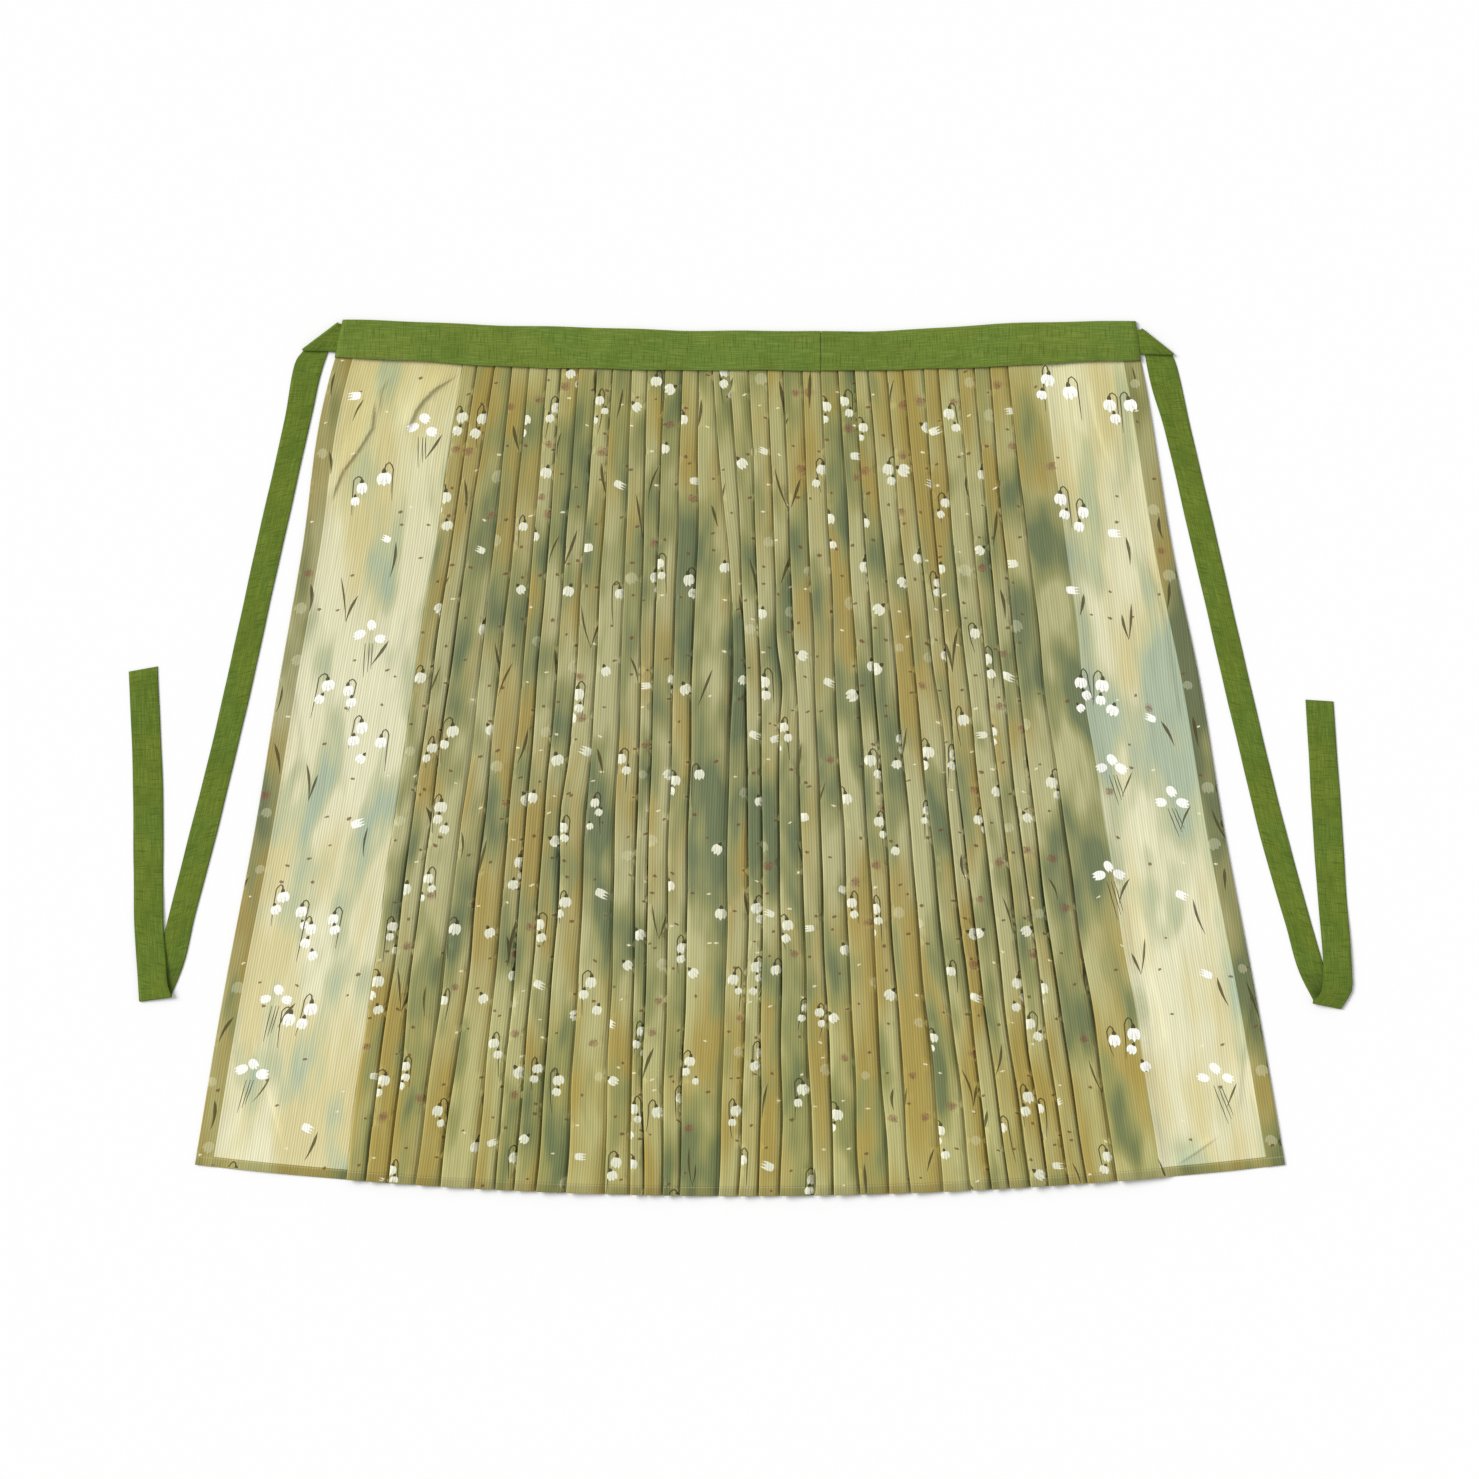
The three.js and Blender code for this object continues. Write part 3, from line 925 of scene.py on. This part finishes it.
# the face of a strip, with the print's outlines cut into its net
def stripSurface(net, strip):
    lattice, flat = [], []
    for fixed, share in stripColumns(strip):
        offset = lambda y: fixed + share * (stripRight(strip, y) - stripLeft(strip, y))
        p, y = columnPlaces(strip, offset)
        lattice.append(list(range(len(flat), len(flat) + len(y))))
        flat += list(zip(p.tolist(), y.tolist()))
    low = [column[-1] for column in lattice[1:-1]]
    high = [column[0] for column in lattice[-2:0:-1]]
    outlines = [lattice[0] + low + lattice[-1][::-1] + high]
    topLimit = min(flat[column[0]][1] for column in lattice) - 0.5
    if strip in (0, pleats["count"]):
        for x, y in creasePlaces():
            p = x - float(stripLeft(strip, np.array(y)))
            if 0.7 < p < widthAt(strip, y) - 0.7 and hemHeight(x) + 1 < y < topLimit:
                flat.append((p, y))
    printed = [(0, 0, 0, 0)]
    for outline, ink in stripPrint(strip):
        outline = clipToStrip(outline, strip, topLimit)
        area = signedArea(outline) if len(outline) > 2 else 0
        if abs(area) > 0.4:
            outlines.append(list(range(len(flat), len(flat) + len(outline))))
            flat += outline if area > 0 else outline[::-1]
            printed.append(ink)
    made, _, triangles, oldPoints, _, owners = delaunay_2d_cdt(
        [Vector(point) for point in flat], [], outlines, 0, 1e-4
    )
    p, y = np.array([tuple(point) for point in made]).T
    fromSide = stripRight(strip, y) - stripLeft(strip, y) - p
    last = pleats["count"]
    side = p if strip == 0 else (fromSide if strip == last else farAway)
    layers = -stacked if strip == 0 else (pleatDepth(strip, y) - p if strip == last else stacked)
    ids = addCloth(net, strip, p, y, surfaceHeight(strip, p, y), layers, side)
    place = {old: ids[new] for new, olds in enumerate(oldPoints) for old in olds}
    for corners, held in zip(triangles, owners):
        if 0 in held:
            net.face([ids[corner] for corner in corners], printed[max(held)])
    return [([place[point] for point in column], 1) for column in lattice]


# the bottom hem: each layer is turned up inside itself
def turnHem(net, path):
    turn, raw = [], []
    for column, facing in path:
        for source, made, drop, shift in ((-1, turn, 0.2, -0.25), (-2, raw, 0.4, 0)):
            x, y, z = (value / metre for value in net.points[column[source]])
            point = (x, y + shift, max(z - drop * facing, 0.05))
            at = column[source]
            made.append(net.add(point, net.weave[at], net.edges[at], net.tuck[at]))
    edge = [column[-1] for column, _ in path]
    net.join([list(row) for row in zip(edge, turn, raw)])


def makePiece(name, net, material):
    mesh = bpy.data.meshes.new(name)
    mesh.from_pydata(net.points, [], net.faces)
    for key, values in (("weave", net.weave), ("edges", net.edges)):
        mesh.attributes.new(key, "FLOAT_VECTOR", "POINT").data.foreach_set("vector", np.ravel(values))
    mesh.attributes.new("tuck", "FLOAT", "POINT").data.foreach_set("value", net.tuck)
    if any(ink[3] for ink in net.ink):
        corners = [net.ink[face.index] for face in mesh.polygons for _ in face.vertices]
        mesh.attributes.new("ink", "FLOAT_COLOR", "CORNER").data.foreach_set("color", np.ravel(corners))
    mesh.polygons.foreach_set("use_smooth", [True] * len(mesh.polygons))
    mesh.materials.append(material)
    return addObject(name, mesh)


def makeSkirt():
    net = Net()
    path = []
    for strip in range(pleats["count"] + 1):
        under = hiddenColumns(net, strip) if strip else sideColumns(net, 0)
        surface = stripSurface(net, strip)
        net.join([column for column, _ in path[-1:] + under + surface[:1]])
        path += under + surface
    closing = sideColumns(net, pleats["count"])
    net.join([column for column, _ in path[-1:] + closing])
    turnHem(net, path + closing)
    return makePiece("skirtCloth", net, crepe)


skirt = makeSkirt()
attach(skirt, "root")
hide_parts("skirt_panel")
print("skirt pleated and printed, faces:", len(skirt.data.polygons))


# waistband, one strip folded over the top of the cloth and joined at a seam
bandShape = {
    "back": 0.4,  # height of the wall that lies on the table
    "front": 5.1,  # height of the front wall over the pleats
    "crest": 3.4,  # its height beside the top fold
    "endFront": 4.2,  # its height at the outer end
    "seam": 92,
    "step": 7,
    "leftEnd": (-453.5, -462.5),  # at the top and at the bottom
    "rightEnd": (451, 457),
}


def bandSection(bottom, top, front, crest, c):
    tall = top - bottom
    radius = (crest - c["back"]) / 2
    turnIn = ((8, 0.35), (0.5, 0.32), (0, 0.16), (0.5, 0))
    walls = (0.12, 0.3, 0.5, 0.7, 0.87)
    section = [(bottom + y, c["back"] + rise) for y, rise in turnIn]
    section += [(bottom + tall * share, c["back"]) for share in walls]
    for k in range(7):
        angle = math.pi * (k / 6 - 0.5)
        turn = (radius * math.cos(angle), radius * math.sin(angle))
        section.append((top - radius + turn[0], c["back"] + radius + turn[1]))
    for share in reversed(walls):
        rise = (front - crest) * float(smoothStep(0.9, 0.4, share))
        section.append((bottom + tall * share, crest + rise))
    return section + [(bottom + y, front - rise) for y, rise in reversed(turnIn)]


def makeBand(name, ends, c):
    net = Net()
    outward = 1 if ends[0] > c["seam"] else -1
    length = abs(sum(ends) / 2 - c["seam"])
    count = round(length / c["step"])
    even = [(length * k / count, 0) for k in range(1, count)]
    # each section's distance from the seam and how far it is drawn in
    places = [(0.25, 0.6), (0.5, 0.15), (1.1, 0), (2.5, 0)] + even
    places += [(length - 0.1, 0), (length + 0.3, 0.6)]
    rows = []
    for distance, inset in places:
        middle = c["seam"] + outward * distance
        bottom = float(smoothRead(bandTable["x"], bandTable["bottom"], middle))
        top = float(smoothRead(bandTable["x"], bandTable["top"], middle))
        top += 0.6 * math.sin(middle / 37) + 0.35 * math.sin(middle / 17 + 2)
        bottom += 0.35 * math.sin(middle / 15) + 0.3 * math.sin(middle / 29 + 1)
        front = c["front"] + (c["endFront"] - c["front"]) * float(smoothStep(60, 4, length - distance))
        front += 0.2 * math.sin(middle / 21 + 1) + 0.12 * math.sin(middle / 8.7)
        section = bandSection(bottom, top - inset * 0.6, front - inset, c["crest"] - inset, c)
        row = []
        run = 0
        for k, (y, z) in enumerate(section):
            if k:
                run += math.hypot(y - section[k - 1][0], z - section[k - 1][1])
            share = (y - bottom) / (top - bottom)
            end = ends[1] + (ends[0] - ends[1]) * share
            x = c["seam"] + (end - c["seam"]) * distance / length
            row.append(net.add((x, y, z), (x, run, 99)))
        rows.append(row)
    net.join(rows if outward > 0 else rows[::-1])
    last = rows[-1]
    size = len(last)
    for k in range(size // 2 - 1):
        net.face((last[k], last[k + 1], last[size - 2 - k], last[size - 1 - k]))
    net.face((last[size // 2 - 1], last[size // 2], last[size // 2 + 1]))
    return makePiece(name, net, bandLinen)


for side, flatLength in (("left", 0.55), ("right", 0.362)):
    band = makeBand(side + "Band", bandShape[side + "End"], bandShape)
    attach(band, "root")
    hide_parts("waistband_" + side)
print("waistband folded")


# ties: the two edges of the strip at each row, its layer, the layer past a fold
# and how far an open fold stands up on its first edge
tieTables = {
    "left": (
        (-446, 491.5, -452.5, 460.5, 0.9),
        (-455, 494.5, -461, 463, 1.2),
        (-458, 495, -499, 464, 2.2, 0),
        (-474, 453, -507, 453, 0),
        (-488, 394, -520, 388, 0),
        (-526, 225, -558, 218, 0),
        (-568, 36, -600, 28, 0),
        (-599, -92, -632, -100, 0),
        (-622, -180, -655, -190, 0),
        (-636, -238, -670, -246, 0),
        (-649, -271, -686, -277.5, 0, 1, 1.5),
        (-653.5, -258, -687.5, -250, 1),
        (-655, -235, -689.5, -225, 1),
        (-657.5, -203, -691.5, -196, 0.9),
        (-658.5, -140, -692.5, -140, 0),
        (-659, -40, -693, -40, 0),
        (-665, 104, -698, 98, 0),
    ),
    "right": (
        (445, 488, 449, 458, 0.9),
        (454, 488, 458.5, 460, 1.4),
        (457, 488, 493.5, 459, 2.2, 0),
        (464, 448, 497.5, 448, 0),
        (484, 374, 516, 368, 0),
        (519, 225, 551, 218, 0),
        (563, 36, 595, 28, 0),
        (594, -92, 627, -100, 0),
        (622, -190, 655, -200, 0),
        (640, -250, 673, -258, 0),
        (654, -277, 686, -286, 0, 1, 2.6),
        (662.5, -268, 697, -268, 1),
        (665, -246, 698, -246, 1),
        (664, -220, 697, -222, 0.9),
        (659, -160, 692.5, -165, 0),
        (653, -70, 686.5, -72, 0),
        (645, 66, 677, 64, 0),
    ),
}
tieShape = {
    "thick": 1.3,
    "low": 0.75,  # height of the middle of the lowest layer
    "pitch": 1.6,  # from one layer to the next
    "step": 9,
    "loopReach": 75,  # length over which an open fold settles
    "pocketShadeReach": 45,  # length before an open fold over which its inside is painted in shade
    "across": (-1, -0.985, -0.94, -0.7, -0.35, 0, 0.35, 0.7, 0.94, 0.985, 1),
}


# stations along one stretch between folds: edge a, edge b, their heights
def stretchStations(rows, c):
    values = np.array([row[:4] for row in rows], float)
    levels = [row[5] if k == 0 and len(row) > 5 else row[4] for k, row in enumerate(rows)]
    middles = (values[:, :2] + values[:, 2:]) / 2
    run = np.concatenate([[0], np.cumsum(np.hypot(*np.diff(middles, axis=0).T))])
    places = np.linspace(0, run[-1], math.ceil(run[-1] / c["step"]) + 1)
    read = smoothRead if len(rows) > 3 else (lambda keys, data, at: np.interp(at, keys, data))
    edges = [read(run, values[:, k], places) for k in range(4)]
    height = c["low"] + c["pitch"] * np.interp(places, run, levels)
    loop = rows[0][6] if len(rows[0]) > 6 else 0
    raised = height + 2 * loop * smoothStep(c["loopReach"], 0, places)
    return [tuple(float(value) for value in row) for row in zip(*edges, raised, height)]


def tieStations(rows, c):
    folds = [k for k, row in enumerate(rows) if len(row) > 5]
    stretches = zip([0] + folds, folds + [len(rows) - 1])
    stations = []
    facing = 1
    for start, end in stretches:
        part = stretchStations(rows[start : end + 1], c)
        if stations:
            turn = foldStations(stations[-1], stations[-2], part[0], facing)
            stations += turn
            facing = -facing
            part = part[1:]
        # painted shade inside an open fold, growing toward the fold
        reach = c["pocketShadeReach"] if len(rows[end]) > 6 else 0
        for k, row in enumerate(part):
            inside = max(1 - (len(part) - 1 - k) * c["step"] / reach, 0) if reach else 0
            stations.append(row + ((0, 0, facing), inside))
    return stations


# a soft half turn round the fold line, up or down to the next layer
def foldStations(here, before, after, facing):
    ax, ay, bx, by, az, bz = here[:6]
    radiusA, radiusB = abs(after[4] - az) / 2, abs(after[5] - bz) / 2
    up = 1 if after[5] > bz else -1
    length = math.hypot(bx - ax, by - ay)
    outX, outY = -(by - ay) / length, (bx - ax) / length
    towardX = before[0] + before[2] - ax - bx
    towardY = before[1] + before[3] - ay - by
    if outX * towardX + outY * towardY > 0:
        outX, outY = -outX, -outY
    stations = []
    for k in range(1, 11):
        angle = math.pi * k / 10
        push, rise = math.sin(angle), up * (1 - math.cos(angle))
        lean = -facing * up * math.sin(angle)
        edgeA = (ax + outX * push * radiusA, ay + outY * push * radiusA)
        edgeB = (bx + outX * push * radiusB, by + outY * push * radiusB)
        normal = (lean * outX, lean * outY, facing * math.cos(angle))
        stations.append(edgeA + edgeB + (az + rise * radiusA, bz + rise * radiusB, normal, 0))
    return stations


def makeTie(name, rows, c):
    net = Net()
    across = c["across"]
    profile = [(share, 1) for share in across] + [(share, -1) for share in across[-2:0:-1]]
    rings = []
    run = 0
    before = None
    for ax, ay, bx, by, az, bz, normal, inside in tieStations(rows, c):
        middle = ((ax + bx) / 2, (ay + by) / 2)
        if before:
            run += math.hypot(middle[0] - before[0], middle[1] - before[1])
        before = middle
        sway = 0.35 * math.sin(run / 31) + 0.2 * math.sin(run / 12 + 1)
        width = math.hypot(bx - ax, by - ay)
        ring = []
        for share, face in profile:
            reach = share / 2 * (1 + sway / width)
            taper = max(abs(share) - 0.94, 0) / 0.06
            half = c["thick"] / 2 * face * math.sqrt(max(1 - taper**2, 0))
            height = (az + bz) / 2 + (bz - az) * reach
            point = [middle[0] + (bx - ax) * reach, middle[1] + (by - ay) * reach, height]
            point = [value + part * half for value, part in zip(point, normal)]
            # painted shade inside the open fold, fading out toward the strip's first edge
            dark = inside * float(smoothStep(-1.1, -0.3, share))
            weave = (run, share * 16.5 + 40 * face, 16.5 * (1 - abs(share)))
            ring.append(net.add(point, weave, tuck=dark))
        rings.append(ring + ring[:1])
    net.join(rings)
    for ring in (rings[0][::-1], rings[-1]):
        size = len(ring) - 1
        net.face((ring[0], ring[1], ring[size - 1]))
        for k in range(1, size // 2 - 1):
            net.face((ring[k], ring[k + 1], ring[size - k - 1], ring[size - k]))
        net.face((ring[size // 2 - 1], ring[size // 2], ring[size // 2 + 1]))
    return makePiece(name, net, tieLinen)


for side in ("left", "right"):
    tie = makeTie(side + "Tie", tieTables[side], tieShape)
    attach(tie, "root")
    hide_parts("tie_" + side)
print("ties laid")


# pale floor and soft light from the upper left
studio = {
    "floorSize": 14,
    "floorColour": (0.92, 0.92, 0.92, 1),
    "skyStrength": 0.53,
    "sunStrength": 2.95,
    "sunAngle": math.radians(30),
    "sunTurn": (math.radians(54), 0, math.radians(-116)),
}


def makeStudio(c):
    half = c["floorSize"] / 2
    mesh = bpy.data.meshes.new("floor")
    corners = [(-half, -half, 0), (half, -half, 0), (half, half, 0), (-half, half, 0)]
    mesh.from_pydata(corners, [], [(0, 1, 2, 3)])
    shade = Shade("paleFloor")
    shade.finish(c["floorColour"], roughness=0.9, specular=0.0)
    mesh.materials.append(shade.material)
    addObject("floor", mesh)
    world = bpy.data.worlds.new("studio")
    world.use_nodes = True
    world.node_tree.nodes["Background"].inputs["Color"].default_value = (1, 1, 1, 1)
    world.node_tree.nodes["Background"].inputs["Strength"].default_value = c["skyStrength"]
    bpy.context.scene.world = world
    light = bpy.data.lights.new("key", "SUN")
    light.energy = c["sunStrength"]
    light.angle = c["sunAngle"]
    addObject("key", light).rotation_euler = c["sunTurn"]
    bpy.context.scene.view_settings.view_transform = "Standard"


makeStudio(studio)
print("studio lit")
